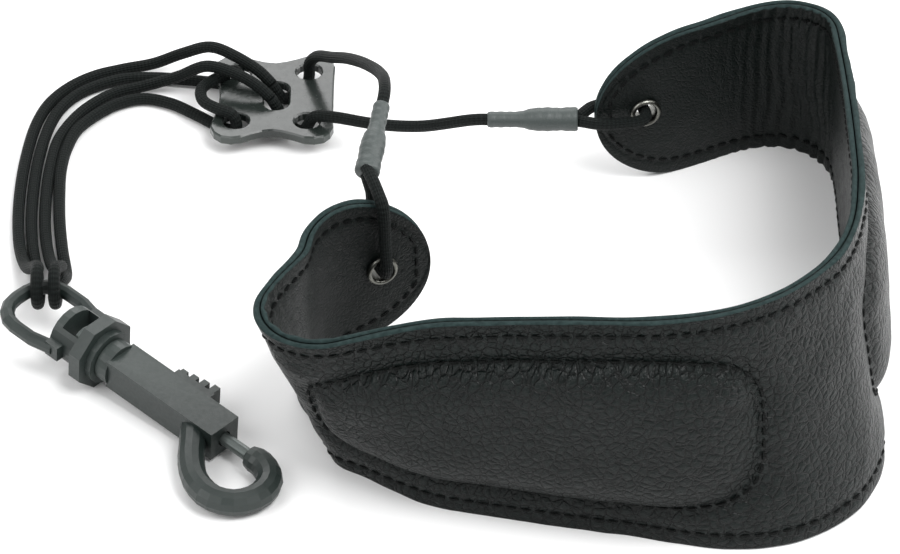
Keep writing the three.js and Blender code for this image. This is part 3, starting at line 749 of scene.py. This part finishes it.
SLOT_TO_UNDER = [(-45.8, 64.2, 7.4), (-44.2, 63.8, 4.4), (-42.6, 62.4, UNDER)]
RIGHT_RUN = [
    (-37.8, 57.6, UNDER), (-36.5, 56.5, 4.4), (-34.6, 55.6, 8), (-30, 53.4, 9.6),
    (-19, 49.4, 10.4), (-8, 45, 13),
]


def round_eye(x, over_first):
    way = np.array([120, 90, 60, 30, 0, -30, -60, -90, -120]) * RAD
    ring = [(x, -16.5 - 4.3 * math.cos(a), 11.4 + 4.3 * math.sin(a)) for a in way]
    return ring if over_first else ring[::-1]


def beyond(pair, distance):
    way = pair[1] - pair[0]
    return pair[1] + way / np.linalg.norm(way) * distance


run_left = [beyond(LEFT_SLEEVE, -1.5), beyond(LEFT_SLEEVE, 3), *LEFT_RUN, *UNDER_TO_SLOT]
bundle = [
    UNDER_TO_SLOT[-1], *STRAND_A, *round_eye(-99.3, True), *STRAND_C, *CROSS, *STRAND_D,
    *round_eye(-95.1, False),
    *STRAND_B, SLOT_TO_UNDER[0],
]
run_right = [*SLOT_TO_UNDER, *RIGHT_RUN, beyond(RIGHT_SLEEVE, 3), beyond(RIGHT_SLEEVE, -1.5)]
for name, points, exit_at, nodes, band_end, slider_end in (
    ("cord_bundle", bundle, bundle[0], ["cord"], (-90, 0, 0), (-66, 0, 0)),
    ("cord_left_run", run_left, run_left[0], [], (-20, 0, 0), (-33, 0, 0)),
    ("cord_right_run", run_right, run_right[-1], [], (-12, 0, 0), (-31, 0, 0)),
):
    if name == "cord_right_run":
        points = points[::-1]
    cord = lay_cord(name, points, nodes)
    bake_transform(cord)


# ---------- hard parts: the frame's own pieces with rounded edges and their finish ----------
def dress(node, material, width, angle=30):
    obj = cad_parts[node]
    obj.data.materials.clear()
    obj.data.materials.append(material)
    thin = obj.modifiers.new("flats", "DECIMATE")
    thin.decimate_type = "DISSOLVE"
    thin.angle_limit = 1.5 * RAD
    if width:
        bevel = obj.modifiers.new("edges", "BEVEL")
        bevel.width = width * MM
        bevel.segments = 3
        bevel.limit_method = "ANGLE"
        bevel.angle_limit = angle * RAD
        bevel.harden_normals = True
    obj.data.polygons.foreach_set("use_smooth", [True] * len(obj.data.polygons))
    normals = obj.modifiers.new("shading", "WEIGHTED_NORMAL")
    normals.keep_sharp = True


dress("slider_plate", SLIDER_COAT, 0.35)
dress("swivel_eye", PLASTIC, 0.35)
dress("hook_body", PLASTIC, 0.4)
dress("thumb_slide", PLASTIC, 0.25)
dress("swivel_stud", DARK_STEEL, 0.2)
dress("bolt", DARK_STEEL, 0.2)

# ---------- plunger spring, drawn as a round wire coil ------------------------------------------
HOOK_AT = np.array([-78.4, -42.0, 8.0])
HOOK_HEADING = -42 * RAD
HOOK_PITCH = 5.1 * RAD
SPRING_FROM = 6.7
SPRING_LENGTH = 8.4
SPRING_TURNS = 6
flat_along = np.array([math.cos(HOOK_HEADING), math.sin(HOOK_HEADING), 0])
hook_across = np.array([-math.sin(HOOK_HEADING), math.cos(HOOK_HEADING), 0])
hook_along = flat_along * math.cos(HOOK_PITCH) - np.array([0, 0, math.sin(HOOK_PITCH)])
hook_up = np.cross(hook_along, hook_across)
coil = []
for i in range(SPRING_TURNS * 24 + 1):
    a = i / 24 * 2 * math.pi
    x = SPRING_FROM + i / (SPRING_TURNS * 24) * SPRING_LENGTH
    coil.append(HOOK_AT + hook_along * x + (hook_across * math.cos(a) + hook_up * math.sin(a)) * 1.15)
wire = tube("plunger_wire", coil, 0.22, DARK_STEEL, 10)
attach(wire, "hook")
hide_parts("plunger_spring")
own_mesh(wire)


# ---------- floor and light ----------
def plain_floor():
    floor = make_mesh(
        "floor", [(-3000, -3000, -0.05), (3000, -3000, -0.05), (3000, 3000, -0.05), (-3000, 3000, -0.05)],
        [(0, 1, 2, 3)], Nodes("floor").material,
    )
    shader = floor.data.materials[0].node_tree.nodes["Principled BSDF"]
    shader.inputs["Base Color"].default_value = (0.93, 0.93, 0.93, 1)
    shader.inputs["Roughness"].default_value = 0.9
    shader.inputs["Specular IOR Level"].default_value = 0.1


def area_light(name, place, aim, size, power):
    lamp = bpy.data.lights.new(name, "AREA")
    lamp.shape = "RECTANGLE"
    lamp.size, lamp.size_y = size
    lamp.energy = power
    obj = bpy.data.objects.new(name, lamp)
    obj.location = place
    way = Vector(aim) - Vector(place)
    obj.rotation_mode = "QUATERNION"
    obj.rotation_quaternion = way.to_track_quat("-Z", "Y")
    bpy.context.scene.collection.objects.link(obj)


plain_floor()
area_light("key", (0.5, -0.35, 1.1), (0, 0, 0), (0.7, 0.7), 13)
area_light("side", (1.1, 0.3, 0.5), (0.05, 0, 0.02), (0.5, 0.8), 7)
area_light("fill", (-0.9, -0.5, 0.9), (-0.05, 0, 0), (0.9, 0.9), 7)
area_light("rear", (-0.1, 1.1, 0.9), (0, 0, 0), (1.2, 0.6), 9)
world = bpy.data.worlds.new("world")
world.use_nodes = True
world.node_tree.nodes["Background"].inputs[0].default_value = (1, 1, 1, 1)
world.node_tree.nodes["Background"].inputs[1].default_value = 0.6
bpy.context.scene.world = world
bpy.context.scene.view_settings.view_transform = "Standard"
